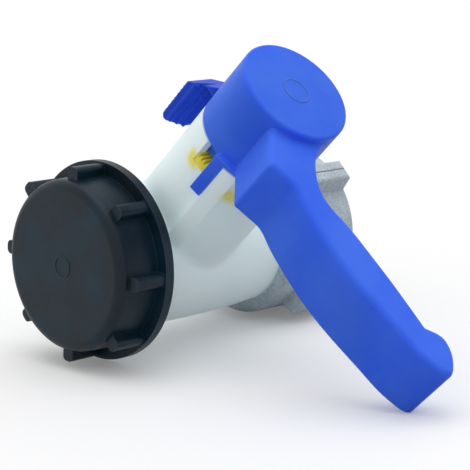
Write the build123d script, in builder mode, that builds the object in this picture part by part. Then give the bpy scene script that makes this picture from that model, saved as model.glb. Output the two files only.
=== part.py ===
import math
import os

from build123d import *

os.makedirs("parts", exist_ok=True)

# Frame: origin on the flow axis at the sealing face towards the tank, +Y towards the tank,
# the outlet towards -Y, the stem upright along +Z and the closed handle towards +X.

# Fits
running_gap = 0.08
loose_gap = 0.3
seat_gap = 0.05

# Flow tube and outlet spout
stem_y = -60.0
bore_r = 24.5
tube_wall = 4.0
belly_wall = 5.1
belly_y = -47.0
inlet_wall = 3.6
spout_wall = 2.7
spout_end_y = -107.0
spout_length = 17.0
thread_pitch = 6.0
thread_height = 2.4
thread_root_width = 3.2
thread_crest_width = 1.6
thread_sink = 0.4
spout_thread_turns = 1.65

# Inlet end: snap ring groove, gasket
inlet_gasket_t = 3.0
inlet_gasket_proud = 2.1
groove_y = -8.0
groove_width = 3.2
groove_depth = 1.7
split_ring_proud = 2.3
split_ring_gap = 5.0

# Union nut
nut_front_y = -17.5
nut_rear_y = 21.0
nut_front_wall = 6.0
nut_thread_play = 2.9
nut_relief = 0.6
nut_wall = 2.9
nut_dome = 4.5
nut_mouth_chamfer = 1.0
lug_count = 4
lug_height = 7.2
lug_width = 10.6
lug_taper = 0.8
lug_round = 1.4
lug_front_y = -7.0
lug_rear_y = 20.4

# Stem neck
neck_r = 22.8
neck_height = 17.9
neck_wall = 3.3
neck_floor = 9.5
neck_blend = 5.0
guide_wall = 3.0
guide_height = 20.0
window_start = -97.0
window_end = -76.0
window_depth = 11.4
stop_proud = 3.0
stop_width = 15.0
stop_foot = 2.5
open_stop_proud = 1.0
open_stop_width = 6.0
open_stop_height = 25.9
stop_angle_gap = 0.5
pivot_boss_wall = 3.0
pivot_boss_depth = 8.0

# Stem, gland and seals
stem_r = 8.0
stem_pivot_step = 2.0
stem_pivot_sink = 4.8
stem_shoulder_inset = 5.0
stem_collar = 3.0
stem_collar_t = 2.0
stem_square = 1.375 * stem_r
stem_drive_start = 1.4
stem_drive_end = 6.8
bush_wall = 1.6
bush_length = 16.0
seal_section_r = 0.55
seal_groove_depth = 1.1
seal_spots = (("stem_seal_upper", 4.0), ("stem_seal_lower", 11.0))

# Yellow retaining ring
ring_wall = 5.4
ring_base_t = 6.0
ring_tooth_height = 5.0
ring_tooth_count = 18
ring_tooth_angle = 11.0
ring_hole_play = 0.6
ring_tab_setback = 0.4
ring_tab_side_gap = 1.0
ring_notch_count = 4
ring_notch_depth = 1.4
ring_notch_angle = 2.2

# Butterfly disc
disc_edge_gap = 0.5
disc_t = 6.0
disc_boss_wall = 3.0
disc_seal_section_r = 1.5
disc_seal_proud = 0.2

# Handle head
head_proud = 0.1
head_gap = 0.8
head_height = 30.1
head_wall = 3.0
head_roof = 3.6
head_round = 1.2
head_lip = 3.5
hub_wall = 5.0
hub_flange_play = 1.1
hub_flange_gap = 0.6
hub_flange_t = 6.0
rib_t = 2.4
head_rib_setback = 2.0
head_rib_angles = (40, 130, 230, 320)

# Handle arm, seen from above about the stem axis; each station gives x and the two edges
arm_root_angle = -60.0
arm_root_end_angle = 15.0
arm_shoulder = (27.9, -31.4)
arm_sweep = (33.4, -28.4)
arm_stations = [
    (38.5, -26.0, -12.8),
    (46.0, -26.6, -14.6),
    (58.0, -27.4, -12.0),
    (70.0, -27.2, -9.9),
    (82.0, -25.5, -8.2),
    (94.0, -22.5, -7.0),
]
arm_tip_side = [(104.0, -19.6), (113.5, -16.8), (120.4, -13.2)]
arm_tip = (124.4, -8.4)
arm_hook = [(121.2, -4.0), (116.4, -1.0), (110.5, -0.2)]
arm_hook_foot = (104.0, -6.2)
arm_root_curve = [(34.0, -10.4), (28.6, -6.4), (24.9, -1.2)]
arm_wall = 3.6
arm_pocket_depth = 18.0
arm_shoulder_round = 1.5
arm_tip_round = 3.0
arm_top_round = 2.2
arm_foot_round = 1.8

# Stop prong of the handle
prong_t = 2.8
prong_gap = 0.4
prong_start = -78.0
prong_end = -67.0
prong_drop = 17.4
prong_shoulder = 1.5
handle_swing = 90.0

# Lock lever; its outline is measured from the neck's wall and the head's foot
lever_width = 13.0
lever_pin_inset = 6.0
lever_pin_lift = 4.3
lever_eye_r = 3.4
lever_shape = [
    (-13.2, -7.4),
    (-13.2, -27.1),
    (-11.9, -28.4),
    (-6.0, -27.6),
    (-1.2, -18.2),
    (-1.2, -1.1),
    (0.2, 0.2),
    (6.0, 0.9),
    (6.0, 7.7),
    (2.3, 6.8),
    (-2.7, 1.8),
]
lever_slot_gap = 0.4
lever_slot_height = 10.3
pad_end_t = 3.0
pad_slant = 30.0
pad_width = 7.0
pad_drop = 0.6
pad_ridge_r = 0.9
pad_ridge_spots = (1.6, 4.6, 7.6)
lock_pin_r = 1.5
ear_t = 3.2
ear_depth = 7.0
tooth_height = 5.0
tooth_drop = 13.2
tooth_width = 5.0
tooth_depth = 0.9
grip_ridge_count = 7
grip_ridge_step = 2.4
grip_ridge_r = 0.8
spring_wire_r = 0.4
spring_turns = 3.0
spring_bay = 5.0
spring_pitch = 1.2
spring_leg = 2.6

# Screw cap
cap_face_t = 3.5
cap_gasket_t = 2.5
cap_gasket_play = 0.6
cap_thread_play = 1.6
cap_wall = 3.8
cap_draft = 0.8
cap_edge_round = 4.0
cap_flange = 5.0
cap_flange_t = 4.0
cap_shoulder_gap = 0.7
cap_rib_count = 8
cap_rib_height = 4.3
cap_rib_width = 5.6
cap_rib_setback = 4.0
cap_rib_round = 2.0
cap_rib_turn = 2.0
cap_thread_gap = 0.7
cap_thread_turns = 1.1

# Sizes that follow: flow tube, inlet end and nut
tube_r = bore_r + tube_wall
belly_r = bore_r + belly_wall
inlet_r = bore_r + inlet_wall
spout_r = bore_r + spout_wall
spout_shoulder_y = spout_end_y + spout_length
thread_crest_r = spout_r + thread_height
inlet_end_y = -inlet_gasket_t
inlet_gasket_r = inlet_r + inlet_gasket_proud
groove_front_y = groove_y - groove_width
groove_r = inlet_r - groove_depth
split_ring_r = inlet_r + split_ring_proud
nut_thread_r = inlet_r + nut_thread_play
nut_relief_r = nut_thread_r + nut_relief
nut_r = nut_thread_r + nut_wall
nut_seat_y = nut_front_y + nut_front_wall
lug_tip_r = nut_r + lug_height

# Sizes that follow: neck, stem and disc
neck_bore_r = neck_r - neck_wall
neck_floor_z = bore_r + neck_floor
guide_top_z = neck_floor_z + guide_height
neck_top_z = guide_top_z + neck_height
window_sill_z = neck_top_z - window_depth
stop_r = neck_r + stop_proud
stop_foot_z = bore_r + stop_foot
open_stop_r = neck_r + open_stop_proud
stem_bore_r = stem_r + running_gap
stem_pivot_r = stem_r - stem_pivot_step
stem_pivot_top_z = stem_shoulder_inset - bore_r
stem_pivot_end_z = -bore_r - stem_pivot_sink
bush_r = stem_r + bush_wall
bush_foot_z = guide_top_z - bush_length
disc_r = bore_r - disc_edge_gap
disc_seal_r = disc_r - disc_seal_section_r + disc_seal_proud
disc_boss_r = stem_r + disc_boss_wall
ring_base_top_z = guide_top_z + ring_base_t
ring_top_z = ring_base_top_z + ring_tooth_height

# Sizes that follow: handle and lock lever
head_r = neck_r + head_proud
head_foot_z = neck_top_z + head_gap
head_top_z = head_foot_z + head_height
lip_z = head_top_z - head_lip
roof_z = head_top_z - head_roof
hub_r = stem_r + hub_wall
hub_flange_r = neck_bore_r - hub_flange_play
hub_flange_foot_z = ring_top_z + hub_flange_gap
stem_round_top_z = hub_flange_foot_z + stem_drive_start
stem_top_z = head_top_z - stem_drive_end
prong_r_in = neck_r + prong_gap
prong_r_out = prong_r_in + prong_t
lever_pin_x = lever_pin_inset - neck_r
lever_pin_z = head_foot_z + lever_pin_lift
lever_outline = [(x - neck_r, z + head_foot_z) for x, z in lever_shape]
ear_inner_y = lever_width / 2 + lever_slot_gap
lever_slot_end_x = lever_pin_x + lever_eye_r + lever_slot_gap
lever_foot_z = min(z for x, z in lever_outline)
pad_top_z = head_foot_z - pad_drop
pad_end = Vector(lever_outline[0][0] + pad_end_t, -lever_width / 2)
pad_along = Vector(math.sin(math.radians(pad_slant)), math.cos(math.radians(pad_slant)))
pad_inner = pad_end + pad_along * (pad_width / pad_along.Y)
spring_coil_r = lock_pin_r + spring_wire_r + seat_gap

# Sizes that follow: cap
cap_inner_r = thread_crest_r + cap_thread_play
cap_wall_r = cap_inner_r + cap_wall
cap_face_r = cap_wall_r - cap_draft
cap_flange_r = cap_wall_r + cap_flange
cap_rib_r = cap_wall_r + cap_rib_height
cap_thread_crest_r = spout_r + cap_thread_gap
cap_gasket_r = cap_inner_r - cap_gasket_play
gasket_front_y = spout_end_y - cap_gasket_t
cap_face_y = gasket_front_y - cap_face_t
cap_back_y = spout_shoulder_y - cap_shoulder_gap
cap_rib_front_y = cap_face_y + cap_rib_setback

side = Plane(origin=(0, stem_y, 0), x_dir=(1, 0, 0), z_dir=(0, -1, 0))


def stem_plane(z):
    """Level plane at height z with its origin on the stem axis."""
    return Plane(origin=(0, stem_y, z))


def flow_plane(y):
    """Plane across the flow axis at station y, facing the tank."""
    return Plane(origin=(0, y, 0), x_dir=(1, 0, 0), z_dir=(0, 1, 0))


def sector_outline(r_in, r_out, start, end):
    """Closed outline of a ring sector between two angles, inside a BuildLine block."""
    outer = CenterArc((0, 0), r_out, start, end - start)
    inner = CenterArc((0, 0), r_in, start, end - start)
    Line(outer @ 0, inner @ 0)
    Line(outer @ 1, inner @ 1)


def lever_top_z(x):
    """Height of the lever's sloping top at a distance x from the stem axis."""
    low, high = lever_outline[0], lever_outline[-1]
    return low[1] + (x - low[0]) * (high[1] - low[1]) / (high[0] - low[0])


def thread_path(start_y, turns):
    """Right-hand helix about the flow axis that starts at start_y and runs towards the outlet."""
    return Helix(
        pitch=thread_pitch,
        height=turns * thread_pitch,
        radius=spout_r,
        center=(0, start_y, 0),
        direction=(0, -1, 0),
    )


def thread_section(path, root_r, crest_r):
    """Trapezoid tooth in the plane through the flow axis at the start of the path."""
    start = path.edge() @ 0
    middle = Vector(0, start.Y, 0)
    radial = (start - middle).normalized()
    plane = Plane(origin=middle, x_dir=radial, z_dir=radial.cross(Vector(0, 1, 0)))
    with BuildSketch(plane) as tooth:
        with BuildLine():
            Polyline(
                (root_r, -thread_root_width / 2),
                (crest_r, -thread_crest_width / 2),
                (crest_r, thread_crest_width / 2),
                (root_r, thread_root_width / 2),
                close=True,
            )
        make_face()
    return tooth.sketch


# Housing: flow tube, spout thread, stem neck, stops
with BuildPart() as housing:
    with BuildSketch(Plane.XY):
        with BuildLine():
            Polyline(
                (0, spout_end_y),
                (spout_r, spout_end_y),
                (spout_r, spout_shoulder_y),
                (tube_r, spout_shoulder_y),
            )
            ThreePointArc((tube_r, spout_shoulder_y), (belly_r, belly_y), (inlet_r, nut_front_y))
            Polyline(
                (inlet_r, nut_front_y),
                (inlet_r, groove_front_y),
                (groove_r, groove_front_y),
                (groove_r, groove_y),
                (inlet_r, groove_y),
                (inlet_r, inlet_end_y),
                (0, inlet_end_y),
                (0, spout_end_y),
            )
        make_face()
    revolve(axis=Axis.Y)
    before = housing.edges()
    with BuildSketch(stem_plane(0)):
        Circle(neck_r)
    extrude(amount=neck_top_z)
    long_edges = [edge for edge in housing.edges() - before if edge.length > neck_r]
    fillet([edge for edge in long_edges if 1 < edge.center().Z < neck_top_z - 1], neck_blend)
    with BuildSketch(stem_plane(0)):
        Circle(stem_pivot_r + pivot_boss_wall)
    extrude(amount=-bore_r - pivot_boss_depth)
    with BuildSketch(stem_plane(stop_foot_z)):
        with BuildLine():
            closed_stop = prong_end + stop_angle_gap
            sector_outline(neck_r - neck_wall / 2, stop_r, closed_stop, closed_stop + stop_width)
        make_face()
    extrude(amount=neck_top_z - stop_foot_z)
    with BuildSketch(stem_plane(neck_top_z - open_stop_height)):
        with BuildLine():
            open_stop = prong_start - handle_swing - stop_angle_gap
            sector_outline(neck_r - neck_wall / 2, open_stop_r, open_stop, open_stop - open_stop_width)
        make_face()
    extrude(amount=open_stop_height - 2 * loose_gap)
    with BuildSketch(stem_plane(neck_top_z)):
        Circle(neck_bore_r)
    extrude(amount=neck_floor_z - neck_top_z, mode=Mode.SUBTRACT)
    with BuildSketch(stem_plane(neck_floor_z)):
        Circle(bush_r + guide_wall)
    extrude(amount=guide_top_z - neck_floor_z)
    with BuildSketch(stem_plane(window_sill_z)):
        with BuildLine():
            sector_outline(neck_bore_r - 1, neck_r + 1, window_start, window_end)
        make_face()
    extrude(amount=2 * window_depth, mode=Mode.SUBTRACT)
    with BuildSketch(flow_plane(inlet_end_y)):
        Circle(bore_r)
    extrude(amount=spout_end_y - inlet_end_y, mode=Mode.SUBTRACT)
    with BuildSketch(stem_plane(0)):
        Circle(stem_r + loose_gap)
    extrude(amount=guide_top_z, mode=Mode.SUBTRACT)
    with BuildSketch(stem_plane(bush_foot_z)):
        Circle(bush_r)
    extrude(amount=guide_top_z - bush_foot_z, mode=Mode.SUBTRACT)
    with BuildSketch(stem_plane(0)):
        Circle(stem_pivot_r + running_gap)
    extrude(amount=stem_pivot_end_z - loose_gap, mode=Mode.SUBTRACT)
    with BuildLine() as spout_helix:
        thread_path(spout_end_y + 2 * thread_pitch, spout_thread_turns)
    spout_tooth = thread_section(spout_helix, spout_r - thread_sink, thread_crest_r)
    sweep(sections=spout_tooth, path=spout_helix.line, is_frenet=True)
housing.part.label = "housing"
export_step(housing.part, "parts/housing.step")

# Butterfly disc with a boss for the stem
with BuildPart() as disc:
    with BuildSketch(flow_plane(stem_y - disc_t / 2)):
        Circle(disc_r)
    extrude(amount=disc_t)
    with BuildSketch(stem_plane(-disc_r)):
        Circle(disc_boss_r)
    extrude(amount=2 * disc_r)
    with Locations((0, stem_y, 0)):
        Sphere(disc_r, mode=Mode.INTERSECT)
    with Locations((0, stem_y, 0)):
        Torus(disc_seal_r, disc_seal_section_r, rotation=(90, 0, 0), mode=Mode.SUBTRACT)
    with BuildSketch(stem_plane(stem_pivot_top_z)):
        Circle(stem_r + seat_gap)
    extrude(amount=2 * disc_r, mode=Mode.SUBTRACT)
    with BuildSketch(stem_plane(stem_pivot_top_z)):
        Circle(stem_pivot_r + seat_gap)
    extrude(amount=-disc_r, mode=Mode.SUBTRACT)
disc.part.label = "disc"
export_step(disc.part, "parts/disc.step")

# Rubber lip round the disc, parted where the stem passes
with BuildPart() as disc_seal:
    with Locations((0, stem_y, 0)):
        Torus(disc_seal_r, disc_seal_section_r - seat_gap, rotation=(90, 0, 0))
    with BuildSketch(stem_plane(0)):
        Circle(stem_r + 2 * seat_gap)
    extrude(amount=2 * disc_r, mode=Mode.SUBTRACT)
    with BuildSketch(stem_plane(0)):
        Circle(stem_pivot_r + 2 * seat_gap)
    extrude(amount=-2 * disc_r, mode=Mode.SUBTRACT)
disc_seal.part.label = "disc_seal"
export_step(disc_seal.part, "parts/disc_seal.step")

# Stem: lower pivot, round shaft with collar and seal grooves, square drive
with BuildPart() as stem:
    with BuildSketch(side):
        with BuildLine():
            Polyline(
                (0, stem_pivot_end_z),
                (stem_pivot_r, stem_pivot_end_z),
                (stem_pivot_r, stem_pivot_top_z),
                (stem_r, stem_pivot_top_z),
                (stem_r, guide_top_z + loose_gap),
                (stem_r + stem_collar, guide_top_z + loose_gap),
                (stem_r + stem_collar, guide_top_z + loose_gap + stem_collar_t),
                (stem_r, guide_top_z + loose_gap + stem_collar_t),
                (stem_r, stem_round_top_z),
                (0, stem_round_top_z),
                close=True,
            )
        make_face()
    revolve(axis=Axis((0, stem_y, 0), (0, 0, 1)))
    with BuildSketch(stem_plane(stem_round_top_z)):
        Rectangle(stem_square, stem_square)
    extrude(amount=stem_top_z - stem_round_top_z)
    for seal_name, seal_drop in seal_spots:
        with BuildSketch(stem_plane(guide_top_z - seal_drop - seal_groove_depth)):
            Circle(stem_r + 1)
            Circle(stem_r - seal_groove_depth, mode=Mode.SUBTRACT)
        extrude(amount=2 * seal_groove_depth, mode=Mode.SUBTRACT)
stem.part.label = "stem"
export_step(stem.part, "parts/stem.step")

# O-rings in the stem grooves
for seal_name, seal_drop in seal_spots:
    with BuildPart() as stem_seal:
        with Locations((0, stem_y, guide_top_z - seal_drop)):
            Torus(stem_r - seal_groove_depth / 2, seal_section_r - seat_gap / 2)
    stem_seal.part.label = seal_name
    export_step(stem_seal.part, f"parts/{seal_name}.step")

# Gland bush in the guide tube
with BuildPart() as gland_bush:
    with BuildSketch(stem_plane(bush_foot_z)):
        Circle(bush_r)
        Circle(stem_bore_r, mode=Mode.SUBTRACT)
    extrude(amount=guide_top_z - bush_foot_z)
gland_bush.part.label = "gland_bush"
export_step(gland_bush.part, "parts/gland_bush.step")

# Toothed retaining ring over the stem collar
with BuildPart() as retaining_ring:
    with BuildSketch(stem_plane(guide_top_z)):
        Circle(neck_bore_r - seat_gap)
        Circle(stem_r + ring_hole_play, mode=Mode.SUBTRACT)
    extrude(amount=ring_base_top_z - guide_top_z)
    with BuildSketch(stem_plane(guide_top_z)):
        Circle(stem_r + stem_collar + loose_gap)
    extrude(amount=stem_collar_t + 2 * loose_gap, mode=Mode.SUBTRACT)
    with BuildSketch(stem_plane(ring_base_top_z)):
        for index in range(ring_tooth_count):
            middle = 360 / ring_tooth_count * index
            with BuildLine():
                sector_outline(
                    neck_bore_r - ring_wall,
                    neck_bore_r - seat_gap,
                    middle - ring_tooth_angle / 2,
                    middle + ring_tooth_angle / 2,
                )
            make_face()
    extrude(amount=ring_top_z - ring_base_top_z, taper=6)
    tab_start = window_start + ring_tab_side_gap
    tab_end = window_end - ring_tab_side_gap
    for outer_r, foot_z in (
        (neck_bore_r - seat_gap, ring_base_top_z),
        (neck_r - ring_tab_setback, window_sill_z + loose_gap),
    ):
        with BuildSketch(stem_plane(foot_z)):
            with BuildLine():
                sector_outline(neck_bore_r - ring_wall, outer_r, tab_start, tab_end)
            make_face()
        extrude(amount=ring_top_z - foot_z)
    with BuildSketch(stem_plane(ring_top_z)):
        for index in range(ring_notch_count):
            notch = tab_start + (tab_end - tab_start) / ring_notch_count * (index + 0.5)
            with BuildLine():
                sector_outline(
                    neck_bore_r - ring_wall - 1,
                    neck_r + 1,
                    notch - ring_notch_angle / 2,
                    notch + ring_notch_angle / 2,
                )
            make_face()
    extrude(amount=-ring_notch_depth, mode=Mode.SUBTRACT)
retaining_ring.part.label = "retaining_ring"
export_step(retaining_ring.part, "parts/retaining_ring.step")

# Handle: round head, cranked arm, stop prong, ears for the lock lever
with BuildPart() as handle:
    with BuildSketch(stem_plane(head_foot_z)):
        with BuildLine():
            root_start = Vector(head_r - head_wall / 2, 0).rotate(Axis.Z, arm_root_angle)
            root_end = Vector(head_r - head_wall / 2, 0).rotate(Axis.Z, arm_root_end_angle)
            front_edge = [(x, front) for x, front, _ in arm_stations]
            back_edge = [(x, back) for x, _, back in reversed(arm_stations)]
            Polyline((0, 0), root_start, arm_shoulder)
            Spline(
                [arm_shoulder, arm_sweep] + front_edge + arm_tip_side + [arm_tip],
                tangents=[(0.75, 0.66), (0.3, 1)],
            )
            Spline([arm_tip] + arm_hook + [arm_hook_foot], tangents=[(-0.3, 1), (-0.6, -0.8)])
            Spline([arm_hook_foot] + back_edge + arm_root_curve + [root_end])
            Line(root_end, (0, 0))
        make_face()
    extrude(amount=lip_z - head_foot_z)
    for corner, corner_round in ((arm_shoulder, arm_shoulder_round), (arm_tip, arm_tip_round)):
        upright = handle.edges().filter_by(Axis.Z)
        fillet(upright.sort_by_distance((corner[0], stem_y + corner[1], head_foot_z))[0], corner_round)
    for level, rim_round in ((-1, arm_top_round), (0, arm_foot_round)):
        rim = handle.faces().sort_by(Axis.Z)[level].edges()
        fillet([edge for edge in rim if edge.center().X > head_r / 2], rim_round)
    with BuildSketch(stem_plane(head_foot_z)):
        Circle(head_r)
    extrude(amount=head_top_z - head_foot_z)
    fillet(handle.faces().sort_by(Axis.Z)[-1].edges(), head_round)
    for near, far in zip(arm_stations, arm_stations[1:]):
        with BuildSketch(stem_plane(head_foot_z)):
            Polygon(
                (near[0] + rib_t / 2, near[1] + arm_wall),
                (far[0] - rib_t / 2, far[1] + arm_wall),
                (far[0] - rib_t / 2, far[2] - arm_wall),
                (near[0] + rib_t / 2, near[2] - arm_wall),
                align=None,
            )
        extrude(amount=arm_pocket_depth, mode=Mode.SUBTRACT)
    with BuildSketch(stem_plane(head_foot_z)):
        Circle(head_r - head_wall)
    extrude(amount=roof_z - head_foot_z, mode=Mode.SUBTRACT)
    with BuildSketch(stem_plane(hub_flange_foot_z)):
        Circle(hub_flange_r)
    extrude(amount=hub_flange_t)
    with BuildSketch(stem_plane(hub_flange_foot_z)):
        Circle(hub_r)
    extrude(amount=roof_z - hub_flange_foot_z)
    with BuildSketch(stem_plane(head_foot_z + head_rib_setback)):
        for angle in head_rib_angles:
            with Locations(Rotation(0, 0, angle)):
                with Locations(((hub_r + head_r - head_wall) / 2, 0)):
                    Rectangle(head_r - hub_r, rib_t)
    extrude(amount=roof_z - head_foot_z - head_rib_setback)
    with BuildSketch(stem_plane(head_foot_z)):
        with Locations((lever_pin_x, 0)):
            Rectangle(ear_depth, 2 * (ear_inner_y + ear_t))
    extrude(amount=roof_z - head_foot_z)
    with BuildSketch(stem_plane(head_foot_z)):
        with Locations(((lever_slot_end_x - head_r) / 2, 0)):
            Rectangle(lever_slot_end_x + head_r, 2 * ear_inner_y)
    extrude(amount=lever_slot_height, mode=Mode.SUBTRACT)
    with BuildSketch(side):
        with Locations((lever_pin_x, lever_pin_z)):
            Circle(lock_pin_r + seat_gap)
    extrude(amount=ear_inner_y + ear_t, both=True, mode=Mode.SUBTRACT)
    with BuildSketch(stem_plane(hub_flange_foot_z)):
        Circle(stem_r + loose_gap)
    extrude(amount=stem_round_top_z + loose_gap - hub_flange_foot_z, mode=Mode.SUBTRACT)
    with BuildSketch(stem_plane(stem_round_top_z)):
        Rectangle(stem_square + 2 * seat_gap, stem_square + 2 * seat_gap)
    extrude(amount=stem_top_z + loose_gap - stem_round_top_z, mode=Mode.SUBTRACT)
    shoulder_end = prong_end + stop_angle_gap + stop_width
    for inner_r, end, foot_z in (
        (prong_r_in, prong_end, neck_top_z - prong_drop),
        (head_r - head_wall / 2, shoulder_end, head_foot_z),
    ):
        with BuildSketch(stem_plane(foot_z)):
            with BuildLine():
                sector_outline(inner_r, prong_r_out, prong_start, end)
            make_face()
        extrude(amount=head_foot_z + prong_shoulder - foot_z)
handle.part.label = "handle"
export_step(handle.part, "parts/handle.step")

# Lock lever: forked eye on the pin, tooth, and a tab with a ridged finger pad facing the neck
with BuildPart() as lock_lever:
    with BuildSketch(side):
        with BuildLine():
            Polyline(lever_outline, close=True)
        make_face()
        with Locations((lever_pin_x, lever_pin_z)):
            Circle(lever_eye_r)
    extrude(amount=lever_width / 2, both=True)
    with BuildSketch(side):
        with Locations((lever_pin_x, lever_pin_z)):
            Circle(lock_pin_r + running_gap)
    extrude(amount=lever_width, both=True, mode=Mode.SUBTRACT)
    with BuildSketch(stem_plane(lever_pin_z - 2 * lever_eye_r)):
        with Locations((lever_pin_x, 0)):
            Rectangle(2 * lever_eye_r, spring_bay)
    extrude(amount=4 * lever_eye_r, mode=Mode.SUBTRACT)
    with BuildSketch(stem_plane(lever_foot_z)):
        Polygon(
            pad_end - pad_along,
            pad_inner,
            (0, pad_inner.Y),
            (0, pad_end.Y - 1),
            align=None,
        )
    extrude(amount=pad_top_z - lever_foot_z, mode=Mode.SUBTRACT)
    for spot in pad_ridge_spots:
        ridge = pad_end + pad_along * spot
        with BuildSketch(stem_plane(lever_foot_z + pad_ridge_r)):
            with Locations(ridge):
                Circle(pad_ridge_r)
        extrude(amount=lever_top_z(ridge.X) - lever_foot_z - 2 * pad_ridge_r)
    with BuildSketch(stem_plane(head_foot_z - tooth_drop - tooth_height / 2)):
        with Locations((lever_outline[4][0], pad_inner.Y + tooth_width / 2)):
            Rectangle(2 * tooth_depth, tooth_width)
    extrude(amount=tooth_height)
    with BuildSketch(side):
        for index in range(grip_ridge_count):
            with Locations((lever_outline[0][0], lever_outline[1][1] + grip_ridge_step * (index + 0.6))):
                Circle(grip_ridge_r)
    extrude(amount=lever_width / 2 - 1, both=True)
lock_lever.part.label = "lock_lever"
export_step(lock_lever.part, "parts/lock_lever.step")

# Pin through the ears and the lever's eye
with BuildPart() as lock_pin:
    with BuildSketch(side):
        with Locations((lever_pin_x, lever_pin_z)):
            Circle(lock_pin_r)
    extrude(amount=ear_inner_y + ear_t, both=True)
lock_pin.part.label = "lock_pin"
export_step(lock_pin.part, "parts/lock_pin.step")

# Torsion spring on the pin
with BuildPart() as lock_spring:
    with BuildLine() as spring_wire:
        coil = Helix(
            pitch=spring_pitch,
            height=spring_turns * spring_pitch,
            radius=spring_coil_r,
            center=(lever_pin_x, stem_y - spring_turns * spring_pitch / 2, lever_pin_z),
            direction=(0, 1, 0),
        )
        Line(coil @ 1, coil @ 1 + (coil % 1) * spring_leg)
    with BuildSketch(Plane(origin=coil @ 0, z_dir=coil % 0)) as wire_end:
        Circle(spring_wire_r)
    sweep(sections=wire_end.sketch, path=spring_wire.line, is_frenet=True)
lock_spring.part.label = "lock_spring"
export_step(lock_spring.part, "parts/lock_spring.step")

# Screw cap: face, ribbed wall, flange, inside thread
with BuildPart() as cap:
    with BuildSketch(Plane.XY):
        with BuildLine():
            Polyline((0, cap_face_y), (cap_face_r - cap_edge_round, cap_face_y))
            RadiusArc(
                (cap_face_r - cap_edge_round, cap_face_y),
                (cap_face_r, cap_face_y + cap_edge_round),
                -cap_edge_round,
            )
            Polyline(
                (cap_face_r, cap_face_y + cap_edge_round),
                (cap_wall_r, cap_back_y - cap_flange_t),
                (cap_flange_r, cap_back_y - cap_flange_t),
                (cap_flange_r, cap_back_y),
                (0, cap_back_y),
                (0, cap_face_y),
            )
        make_face()
    revolve(axis=Axis.Y)
    with BuildSketch(flow_plane(cap_rib_front_y)):
        with PolarLocations(cap_inner_r, cap_rib_count, start_angle=cap_rib_turn):
            RectangleRounded(2 * (cap_rib_r - cap_inner_r), cap_rib_width, cap_rib_round)
    extrude(amount=cap_back_y - cap_flange_t - cap_rib_front_y)
    with BuildSketch(flow_plane(gasket_front_y)):
        Circle(cap_inner_r)
    extrude(amount=cap_back_y - gasket_front_y, mode=Mode.SUBTRACT)
    with BuildLine() as cap_helix:
        thread_path(spout_end_y + 1.5 * thread_pitch, cap_thread_turns)
    cap_tooth = thread_section(cap_helix, cap_inner_r + thread_sink, cap_thread_crest_r)
    sweep(sections=cap_tooth, path=cap_helix.line, is_frenet=True)
cap.part.label = "cap"
export_step(cap.part, "parts/cap.step")

# Flat gasket inside the cap
with BuildPart() as cap_gasket:
    with BuildSketch(flow_plane(gasket_front_y)):
        Circle(cap_gasket_r)
        Circle(bore_r, mode=Mode.SUBTRACT)
    extrude(amount=cap_gasket_t)
cap_gasket.part.label = "cap_gasket"
export_step(cap_gasket.part, "parts/cap_gasket.step")

# Union nut with wrench lugs
with BuildPart() as union_nut:
    with BuildSketch(Plane.XY):
        with BuildLine():
            Polyline((inlet_r + loose_gap, nut_front_y), (nut_r - nut_dome, nut_front_y))
            RadiusArc((nut_r - nut_dome, nut_front_y), (nut_r, nut_front_y + nut_dome), -nut_dome)
            Polyline(
                (nut_r, nut_front_y + nut_dome),
                (nut_r, nut_rear_y),
                (nut_thread_r + nut_mouth_chamfer, nut_rear_y),
                (nut_thread_r, nut_rear_y - nut_mouth_chamfer),
                (nut_thread_r, 0),
                (nut_relief_r, 0),
                (nut_relief_r, nut_seat_y),
                (inlet_r + loose_gap, nut_seat_y),
                (inlet_r + loose_gap, nut_front_y),
            )
        make_face()
    revolve(axis=Axis.Y)
    wall_edges = union_nut.edges()
    with BuildSketch(flow_plane(lug_front_y)):
        with PolarLocations(0, lug_count):
            Polygon(
                (nut_relief_r + 1, -lug_width / 2 - lug_taper),
                (lug_tip_r, -lug_width / 2 + lug_taper),
                (lug_tip_r, lug_width / 2 - lug_taper),
                (nut_relief_r + 1, lug_width / 2 + lug_taper),
                align=None,
            )
    extrude(amount=lug_rear_y - lug_front_y)
    tip_edges = [
        edge
        for edge in union_nut.edges() - wall_edges
        if edge.length > lug_width - 2 * lug_taper - 0.1
        and math.hypot(edge.center().X, edge.center().Z) > lug_tip_r - lug_round
    ]
    fillet(tip_edges, lug_round)
union_nut.part.label = "union_nut"
export_step(union_nut.part, "parts/union_nut.step")

# Split ring that holds the nut on the housing
with BuildPart() as nut_split_ring:
    with BuildSketch(flow_plane(groove_front_y + seat_gap)):
        Circle(split_ring_r)
        Circle(groove_r + seat_gap, mode=Mode.SUBTRACT)
        with Locations((0, split_ring_r)):
            Rectangle(split_ring_gap, 2 * (split_ring_r - groove_r) + 2, mode=Mode.SUBTRACT)
    extrude(amount=groove_width - 2 * seat_gap)
nut_split_ring.part.label = "nut_split_ring"
export_step(nut_split_ring.part, "parts/nut_split_ring.step")

# Flat gasket on the inlet face
with BuildPart() as inlet_gasket:
    with BuildSketch(flow_plane(inlet_end_y)):
        Circle(inlet_gasket_r)
        Circle(bore_r, mode=Mode.SUBTRACT)
    extrude(amount=inlet_gasket_t)
inlet_gasket.part.label = "inlet_gasket"
export_step(inlet_gasket.part, "parts/inlet_gasket.step")
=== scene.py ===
import math

import bmesh
import bpy
from mathutils import Matrix, Vector


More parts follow.
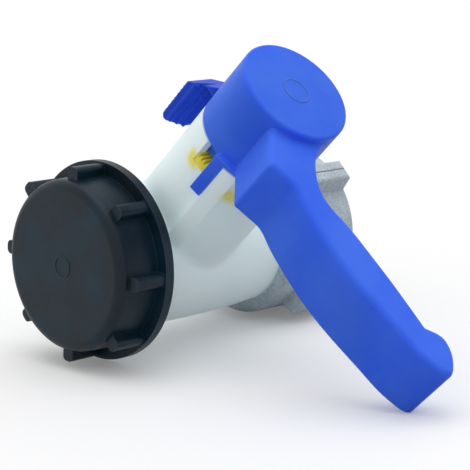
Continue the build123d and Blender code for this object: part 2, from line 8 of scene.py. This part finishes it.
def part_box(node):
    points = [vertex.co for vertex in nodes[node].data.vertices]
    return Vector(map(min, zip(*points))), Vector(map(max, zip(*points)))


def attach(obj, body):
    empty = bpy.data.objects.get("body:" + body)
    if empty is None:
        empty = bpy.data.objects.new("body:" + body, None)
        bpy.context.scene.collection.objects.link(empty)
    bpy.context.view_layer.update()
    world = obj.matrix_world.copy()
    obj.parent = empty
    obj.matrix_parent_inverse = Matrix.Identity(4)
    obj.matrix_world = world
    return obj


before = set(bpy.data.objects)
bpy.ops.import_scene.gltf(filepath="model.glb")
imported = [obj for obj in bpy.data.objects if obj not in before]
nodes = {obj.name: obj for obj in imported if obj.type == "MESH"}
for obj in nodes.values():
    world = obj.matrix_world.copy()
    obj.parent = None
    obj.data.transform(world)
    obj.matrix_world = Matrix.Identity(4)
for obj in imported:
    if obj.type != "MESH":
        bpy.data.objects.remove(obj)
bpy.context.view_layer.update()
scene = bpy.context.scene

# The valve lies on the rim of its cap, the round of its nut and the tip of its handle,
# so the table is tilted in the valve's own axes.
TABLE_UP = Vector((-0.728, -0.0545, 0.685)).normalized()
TABLE_MIDDLE = Vector((0.02, -0.05, 0.03))
TABLE_REACH = 6.0

# The camera's place and axes, in the valve's frame
EYE = Vector((0.2561, -0.5426, 0.4709))
EYE_RIGHT = Vector((0.488, 0.702, 0.518))
EYE_BACK = Vector((0.341, -0.700, 0.627))
LENS_MM = 134.04
SENSOR_MM = 36.0
NEAR_CLIP = 0.01

# Light, and how much of it the table returns to the valve and to the eye
ROOM_LEVEL = 0.78
OVERHEAD_LEVEL = 0.72
OVERHEAD_SPREAD = math.radians(50)
TABLE_BOUNCE = 0.40
TABLE_SHOWN = 0.86
TABLE_FILL = 0.14
SEEN_RAYS = ("Camera", "Glossy", "Transmission")

# Places and directions on the valve, in metres
STEM_Y = -0.060
RING_FOOT_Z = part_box("retaining_ring")[0][2]
RING_TOP_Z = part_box("retaining_ring")[1][2]
CAP_FACE = Vector((0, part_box("cap")[0][1], 0))
CAP_OUT = Vector((0, -1, 0))
CAP_MARK_R = 0.0042
HEAD_TOP = Vector((0, STEM_Y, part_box("handle")[1][2]))
HEAD_OUT = Vector((0, 0, 1))
HEAD_MARK_R = 0.0055
NUT_BORE_R = 0.031
NUT_THREAD_PITCH = 0.006

# Where the yellow ring shows through the neck, in degrees round the stem
RING_GLOWS = ((-105, -88), (-51, -36))
RING_GLOW_FADE = 6

# A Mix node's sockets when it mixes colours
MIX_AMOUNT = 0
MIX_BELOW = 6
MIX_ABOVE = 7
MIX_RESULT = 2


class Field:
    """A shader value that Python's operators work on: each one adds a Math node."""

    def __init__(self, graph, socket):
        self.graph = graph
        self.socket = socket

    def maths(self, operation, *values):
        sockets = dict(enumerate((self, *values)))
        return self.graph.node("ShaderNodeMath", {"operation": operation}, sockets)

    def __add__(self, other):
        return self.maths("ADD", other)

    def __sub__(self, other):
        return self.maths("SUBTRACT", other)

    def __rsub__(self, other):
        return self.graph.node("ShaderNodeMath", {"operation": "SUBTRACT"}, {0: other, 1: self})

    def __mul__(self, other):
        return self.maths("MULTIPLY", other)

    def __pow__(self, other):
        return self.maths("POWER", other)

    def __abs__(self):
        return self.maths("ABSOLUTE")

    __radd__ = __add__
    __rmul__ = __mul__

    def either(self, other):
        """The larger of the two values."""
        return self.maths("MAXIMUM", other)

    def step(self, low, high):
        """0 below low, 1 above high, smooth between them."""
        return self.graph.node(
            "ShaderNodeMapRange",
            {"interpolation_type": "SMOOTHSTEP"},
            {"Value": self, "From Min": low, "From Max": high, "To Min": 0.0, "To Max": 1.0},
        )

    def band(self, low, high, soft):
        """1 between low and high, fading over soft at both ends."""
        return self.step(low - soft, low + soft) * (1 - self.step(high - soft, high + soft))


class Graph:
    """The node tree of a material or of the world."""

    def __init__(self, tree):
        self.tree = tree

    def ready_made(self, kind):
        """The node of this type that a new tree comes with."""
        return next(node for node in self.tree.nodes if node.type == kind)

    def node(self, kind, settings, sockets, output=0):
        """Adds a node: its settings first, then a value or a link for each named socket."""
        node = self.tree.nodes.new(kind)
        for key, value in settings.items():
            setattr(node, key, value)
        for key, value in sockets.items():
            self.feed(node.inputs[key], value)
        return Field(self, node.outputs[output])

    def feed(self, socket, value):
        if isinstance(value, Field):
            self.tree.links.new(value.socket, socket)
        else:
            socket.default_value = value

    def seen(self):
        """1 for rays from the eye and for what gloss and clear plastic show, 0 for bounced light."""
        rays = [self.node("ShaderNodeLightPath", {}, {}, f"Is {kind} Ray") for kind in SEEN_RAYS]
        return rays[0].either(rays[1]).either(rays[2])


class Finish(Graph):
    """One material: its nodes, and the Principled shader that they feed."""

    def __init__(self, name, constants):
        self.material = bpy.data.materials.new(name)
        self.material.use_nodes = True
        super().__init__(self.material.node_tree)
        self.shader = self.ready_made("BSDF_PRINCIPLED")
        for socket, value in constants.items():
            self.shader.inputs[socket].default_value = value

    def place(self):
        """Position on the piece, in metres, in the valve's axes."""
        return self.node("ShaderNodeTexCoord", {}, {}, "Object")

    def axis(self, which):
        return self.node("ShaderNodeSeparateXYZ", {}, {0: self.place()}, which)

    def noise(self, scale, detail=3.0, rough=0.55, stretch=(1, 1, 1)):
        where = self.node("ShaderNodeMapping", {}, {"Vector": self.place(), "Scale": stretch})
        sockets = {"Vector": where, "Scale": scale, "Detail": detail, "Roughness": rough}
        return self.node("ShaderNodeTexNoise", {}, sockets, "Fac")

    def mix(self, amount, below, above):
        """A colour: below where amount is 0, above where it is 1."""
        sockets = {MIX_AMOUNT: amount, MIX_BELOW: below, MIX_ABOVE: above}
        return self.node("ShaderNodeMix", {"data_type": "RGBA"}, sockets, MIX_RESULT)

    def bump(self, height, depth, strength):
        sockets = {"Height": height, "Distance": depth, "Strength": strength}
        return self.node("ShaderNodeBump", {}, sockets)

    def edges(self, width):
        """1 along the edges of the piece, fading over width on both sides."""
        soft = self.node("ShaderNodeBevel", {"samples": 6}, {"Radius": width})
        flat = self.node("ShaderNodeNewGeometry", {}, {}, "Normal")
        alike = self.node("ShaderNodeVectorMath", {"operation": "DOT_PRODUCT"}, {0: soft, 1: flat}, "Value")
        return (1 - alike).step(low=0.01, high=0.16)

    def wear(self, **values):
        """Feeds the shader's sockets; an underscore in a name stands for a space."""
        for name, value in values.items():
            self.feed(self.shader.inputs[name.replace("_", " ")], value)
        return self.material


def rgb(*levels):
    """A screen colour, 0 to 255, as the linear colour a shader takes."""
    screen = [level / 255 for level in levels]
    linear = [c / 12.92 if c <= 0.04045 else ((c + 0.055) / 1.055) ** 2.4 for c in screen]
    return (*linear, 1.0)


def grey(level):
    """A linear grey."""
    return (level, level, level, 1.0)


def blue_plastic(name, tone, deep, glow):
    """Satin moulded plastic: slow tone changes, fine grain, faint streaks and a painted highlight along the
    edges.
    """
    finish = Finish(
        name,
        {
            "IOR": 1.45,
            "Specular IOR Level": 0.09,
            "Subsurface Weight": glow,
            "Subsurface Radius": (0.05, 0.15, 1.0),
            "Subsurface Scale": 0.010,
        },
    )
    streaked = rgb(120, 155, 250)
    # The lighter blue of the painted edge highlight
    highlight_tint = rgb(128, 166, 255)
    cloud = finish.noise(scale=45, detail=2.0)
    streak = finish.noise(scale=260, detail=4.0, rough=0.6, stretch=(1, 1, 0.18)).step(low=0.60, high=0.76)
    # Painted highlight: a lighter blue along the edges, stronger where the cloud is high
    edge_highlight = finish.edges(width=0.0011) * (0.35 + 0.5 * cloud)
    grain = finish.noise(scale=2600, detail=2.0)
    colour = finish.mix(cloud.step(low=0.3, high=0.7), deep, tone)
    colour = finish.mix(0.08 * streak, colour, streaked)
    colour = finish.mix(0.5 * edge_highlight, colour, highlight_tint)
    return finish.wear(
        Base_Color=colour,
        Roughness=0.38 + 0.10 * cloud + 0.08 * streak,
        Normal=finish.bump(grain, depth=0.00006, strength=0.35),
    )


def cap_plastic():
    """Black moulded plastic with a dusty bloom, an eroded grain and a painted highlight along the edges,
    where the roughness is also lower.
    """
    finish = Finish("black_cap_plastic", {"IOR": 1.48, "Specular IOR Level": 0.28})
    black = rgb(3, 22, 33)
    dusty = rgb(6, 40, 56)
    # The pale blue-grey of the painted edge highlight
    highlight_tint = rgb(76, 96, 110)
    bloom = finish.noise(scale=60, detail=4.0, rough=0.6)
    # Painted highlight along the edges, stronger where the bloom is high; the same mask also lowers the
    # roughness there
    edge_highlight = finish.edges(width=0.0008) * (0.3 + 0.6 * bloom)
    grain = finish.noise(scale=3200, detail=2.0)
    colour = finish.mix(bloom.step(low=0.35, high=0.75), black, dusty)
    colour = finish.mix(0.5 * edge_highlight, colour, highlight_tint)
    return finish.wear(
        Base_Color=colour,
        Roughness=0.36 + 0.12 * bloom - 0.06 * edge_highlight,
        Normal=finish.bump(grain, depth=0.00008, strength=0.5),
    )


def natural_plastic():
    """Milky natural plastic; the yellow ring shows through the neck's wall in two places.

    The faint emission stands in for light that passes through the thin wall.
    """
    finish = Finish(
        "natural_plastic",
        {
            "IOR": 1.5,
            "Subsurface Weight": 0.3,
            "Subsurface Radius": (1.0, 1.0, 1.0),
            "Subsurface Scale": 0.003,
            "Emission Color": (0.80, 0.96, 1.0, 1.0),
            "Emission Strength": 0.10,
        },
    )
    shade = rgb(232, 250, 253)
    milk = rgb(238, 254, 255)
    yellow = rgb(240, 222, 16)
    glow_foot = RING_FOOT_Z + 0.004
    glow_top = RING_TOP_Z - 0.001
    cloud = finish.noise(scale=38)
    grain = finish.noise(scale=1500, detail=2.0)
    patchy = 0.75 + 0.5 * finish.noise(scale=420)
    turn = (finish.axis("Y") - STEM_Y).maths("ARCTAN2", finish.axis("X")) * math.degrees(1)
    thin = sum(turn.band(low, high, RING_GLOW_FADE) for low, high in RING_GLOWS)
    behind = finish.axis("Z").band(glow_foot, glow_top, soft=0.0028)
    colour = finish.mix(cloud.step(low=0.3, high=0.7), shade, milk)
    colour = finish.mix(behind * (0.05 + 1.15 * thin * patchy), colour, yellow)
    return finish.wear(
        Base_Color=colour,
        Roughness=0.42 + 0.1 * cloud,
        Normal=finish.bump(grain, depth=0.00005, strength=0.35),
    )


def nut_plastic():
    """Grey filled plastic with a grainy skin and, outside, the mould's parting line across two lugs."""
    finish = Finish("grey_nut_plastic", {"IOR": 1.48})
    shade = rgb(178, 192, 200)
    tone = rgb(202, 214, 221)
    light_speck = rgb(238, 244, 248)
    dark_speck = rgb(122, 132, 138)
    line = rgb(84, 92, 98)
    speck = finish.noise(scale=900, detail=5.0, rough=0.7)
    cloud = finish.noise(scale=70)
    across = finish.axis("X")
    radius = (across**2 + finish.axis("Z") ** 2) ** 0.5
    outside = radius.step(low=NUT_BORE_R + 0.0015, high=NUT_BORE_R + 0.002)
    parting = outside * (1 - abs(across).step(low=0.00012, high=0.0004))
    colour = finish.mix(cloud.step(low=0.3, high=0.7), shade, tone)
    colour = finish.mix(0.6 * speck.step(low=0.52, high=0.70), colour, light_speck)
    colour = finish.mix(0.6 * (1 - speck.step(low=0.32, high=0.48)), colour, dark_speck)
    colour = finish.mix(0.8 * parting, colour, line)
    return finish.wear(
        Base_Color=colour,
        Roughness=0.4 + 0.2 * speck,
        Normal=finish.bump(speck - 2.0 * parting, depth=0.0004, strength=0.7),
    )


def plain_plastic(name, tone, shade):
    """Moulded plastic with slow tone changes and a fine grain."""
    finish = Finish(name, {"IOR": 1.48})
    cloud = finish.noise(scale=160)
    grain = finish.noise(scale=1800, detail=2.0)
    return finish.wear(
        Base_Color=finish.mix(cloud.step(low=0.3, high=0.7), shade, tone),
        Roughness=0.42 + 0.12 * cloud,
        Normal=finish.bump(grain, depth=0.00005, strength=0.4),
    )


def black_rubber():
    """Dull black rubber with a pale bloom."""
    finish = Finish("black_rubber", {"IOR": 1.52})
    bloom = finish.noise(scale=120, detail=4.0)
    grain = finish.noise(scale=1400)
    return finish.wear(
        Base_Color=finish.mix(bloom, rgb(28, 28, 29), rgb(44, 44, 45)),
        Roughness=0.6 + 0.2 * bloom,
        Normal=finish.bump(grain, depth=0.0001, strength=0.4),
    )


def drawn_steel():
    """Bright steel with the marks of drawing along Y."""
    finish = Finish("drawn_steel", {"Metallic": 1.0})
    draw = finish.noise(scale=900, rough=0.6, stretch=(1, 0.05, 1))
    return finish.wear(
        Base_Color=finish.mix(draw, rgb(150, 150, 152), rgb(196, 197, 200)),
        Roughness=0.22 + 0.2 * draw,
        Normal=finish.bump(draw, depth=0.00004, strength=0.3),
    )


def dress(material, *names):
    """Puts a material on the named solids, in place of the one they came with."""
    for name in names:
        mesh = nodes[name].data
        mesh.materials.clear()
        mesh.materials.append(material)


GREY_NUT = nut_plastic()
BLACK_CAP = cap_plastic()
BLUE_HANDLE = blue_plastic("blue_handle_plastic", rgb(70, 118, 252), rgb(60, 109, 249), glow=0.5)
BLUE_LEVER = blue_plastic("blue_lever_plastic", rgb(36, 78, 220), rgb(24, 62, 202), glow=0.0)
YELLOW_RING = plain_plastic("yellow_ring_plastic", rgb(252, 240, 84), rgb(244, 226, 62))
PALE_NYLON = plain_plastic("pale_nylon", rgb(214, 216, 214), rgb(200, 203, 202))
GREY_NYLON = plain_plastic("grey_nylon", rgb(150, 153, 158), rgb(134, 137, 142))

dress(natural_plastic(), "housing")
dress(BLUE_HANDLE, "handle")
dress(BLUE_LEVER, "lock_lever")
dress(BLACK_CAP, "cap")
dress(GREY_NUT, "union_nut")
dress(YELLOW_RING, "retaining_ring")
dress(PALE_NYLON, "gland_bush", "nut_split_ring", "disc")
dress(GREY_NYLON, "stem")
dress(black_rubber(), "inlet_gasket", "cap_gasket", "disc_seal", "stem_seal_upper", "stem_seal_lower")
dress(drawn_steel(), "lock_pin", "lock_spring")


def add_piece(name, mesh, material, body):
    """Makes an object of a bmesh, dresses it and lets it ride on a body."""
    bmesh.ops.recalc_face_normals(mesh, faces=mesh.faces)
    data = bpy.data.meshes.new(name)
    mesh.to_mesh(data)
    mesh.free()
    data.shade_smooth()
    data.materials.append(material)
    piece = bpy.data.objects.new(name, data)
    scene.collection.objects.link(piece)
    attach(piece, body)


def skin(mesh, rings, closed):
    """Faces between neighbouring rings of points; the last ring meets the first where closed."""
    pairs = list(zip(rings, rings[1:]))
    if closed:
        pairs.append((rings[-1], rings[0]))
    for near, far in pairs:
        for k in range(len(near)):
            after = (k + 1) % len(near)
            mesh.faces.new((near[k], near[after], far[after], far[k]))


def add_nut_thread():
    """Round-crested thread inside the nut, run out at both ends."""
    depth = 0.0017
    sink = 0.0003
    root_half = 0.0019
    shoulder_half = 0.00104
    shoulder_rise = 0.7
    crest_half = 0.0004
    start_y = 0.0035
    turns = 2.4
    per_turn = 96
    run_out = per_turn // 6
    count = round(turns * per_turn)
    mesh = bmesh.new()
    rings = []
    for index in range(count + 1):
        angle = 2 * math.pi * index / per_turn
        y = start_y + NUT_THREAD_PITCH * index / per_turn
        rise = min(1.0, index / run_out, (count - index) / run_out)
        height = depth * math.sin(rise * math.pi / 2)
        section = [(sink, -root_half), (-shoulder_rise * height, -shoulder_half), (-height, -crest_half)]
        section += [(inset, -shift) for inset, shift in reversed(section)]
        ring = []
        for inset, shift in section:
            r = NUT_BORE_R + inset
            ring.append(mesh.verts.new((r * math.cos(angle), y + shift, r * math.sin(angle))))
        rings.append(ring)
    skin(mesh, rings, closed=False)
    mesh.faces.new(rings[0])
    mesh.faces.new(rings[-1])
    add_piece("nut_thread", mesh, GREY_NUT, "nut")


def add_gate_mark(name, centre, outward, radius, material, body):
    """A low moulded ring round the sprue's mark."""
    height = 0.0003
    sink = 0.0003
    half_width = 0.0004
    around = 64
    across = 8
    side = outward.orthogonal().normalized()
    other = outward.cross(side)
    mesh = bmesh.new()
    rings = []
    for turn in range(around):
        angle = 2 * math.pi * turn / around
        spoke = side * math.cos(angle) + other * math.sin(angle)
        ring = []
        for step in range(across):
            bend = 2 * math.pi * step / across
            out = radius + half_width * math.cos(bend)
            up = math.sin(bend) * (height if math.sin(bend) > 0 else sink)
            ring.append(mesh.verts.new(centre + spoke * out + outward * up))
        rings.append(ring)
    skin(mesh, rings, closed=True)
    add_piece(name, mesh, material, body)


def add_camera():
    """A long lens that looks against EYE_BACK, with EYE_RIGHT to the right of the picture."""
    data = bpy.data.cameras.new("camera")
    data.lens = LENS_MM
    data.sensor_width = SENSOR_MM
    data.clip_start = NEAR_CLIP
    eye = bpy.data.objects.new("camera", data)
    back = EYE_BACK.normalized()
    right = (EYE_RIGHT - back * EYE_RIGHT.dot(back)).normalized()
    up = back.cross(right)
    eye.matrix_world = Matrix.Translation(EYE) @ Matrix((right, up, back)).transposed().to_4x4()
    scene.collection.objects.link(eye)
    scene.camera = eye


def table_white():
    """Matt white that is clear from behind, and returns less light to the valve than the eye sees."""
    finish = Finish("table_white", {"Roughness": 0.9, "Specular IOR Level": 0.0, "Emission Strength": 1.0})
    shown = finish.seen()
    finish.wear(
        Base_Color=finish.mix(shown, grey(TABLE_BOUNCE), grey(TABLE_SHOWN)),
        Emission_Color=finish.mix(shown, grey(0.0), grey(TABLE_FILL)),
    )
    hidden = finish.node("ShaderNodeNewGeometry", {}, {}, "Backfacing")
    clear = finish.node("ShaderNodeBsdfTransparent", {}, {})
    top = Field(finish, finish.shader.outputs[0])
    both = finish.node("ShaderNodeMixShader", {}, {0: hidden, 1: top, 2: clear})
    finish.feed(finish.ready_made("OUTPUT_MATERIAL").inputs["Surface"], both)
    return finish.material


def add_table():
    """A table top that touches the valve's lowest points."""
    lowest = min(TABLE_UP.dot(v.co) for piece in nodes.values() for v in piece.data.vertices)
    side = TABLE_UP.cross(Vector((0, 1, 0))).normalized() * TABLE_REACH
    along = side.cross(TABLE_UP)
    centre = TABLE_MIDDLE - TABLE_UP * (TABLE_MIDDLE.dot(TABLE_UP) - lowest)
    corners = [centre + side * a + along * b for a, b in ((-1, -1), (1, -1), (1, 1), (-1, 1))]
    mesh = bpy.data.meshes.new("table")
    mesh.from_pydata(corners, [], [(0, 1, 2, 3)])
    mesh.update()
    if mesh.polygons[0].normal.dot(TABLE_UP) < 0:
        mesh.flip_normals()
    mesh.materials.append(table_white())
    table = bpy.data.objects.new("table", mesh)
    scene.collection.objects.link(table)


def add_room():
    """Even room light; what the camera and gloss see behind the table is white."""
    world = bpy.data.worlds.new("room")
    world.use_nodes = True
    scene.world = world
    room = Graph(world.node_tree)
    room.tree.nodes.remove(room.ready_made("BACKGROUND"))
    light = room.node("ShaderNodeBackground", {}, {"Color": grey(1.0), "Strength": ROOM_LEVEL})
    white = room.node("ShaderNodeBackground", {}, {"Color": grey(1.0), "Strength": 1.0})
    both = room.node("ShaderNodeMixShader", {}, {0: room.seen(), 1: light, 2: white})
    room.feed(room.ready_made("OUTPUT_WORLD").inputs["Surface"], both)


def add_overhead():
    """A wide, soft light from straight above the table."""
    data = bpy.data.lights.new("overhead", "SUN")
    data.energy = OVERHEAD_LEVEL
    data.angle = OVERHEAD_SPREAD
    lamp = bpy.data.objects.new("overhead", data)
    lamp.matrix_world = TABLE_UP.to_track_quat("Z", "Y").to_matrix().to_4x4()
    scene.collection.objects.link(lamp)


add_camera()
add_nut_thread()
add_gate_mark("cap_gate_mark", CAP_FACE, CAP_OUT, CAP_MARK_R, BLACK_CAP, "cap")
add_gate_mark("head_gate_mark", HEAD_TOP, HEAD_OUT, HEAD_MARK_R, BLUE_HANDLE, "handle")
add_table()
add_room()
add_overhead()
scene.view_settings.view_transform = "Standard"
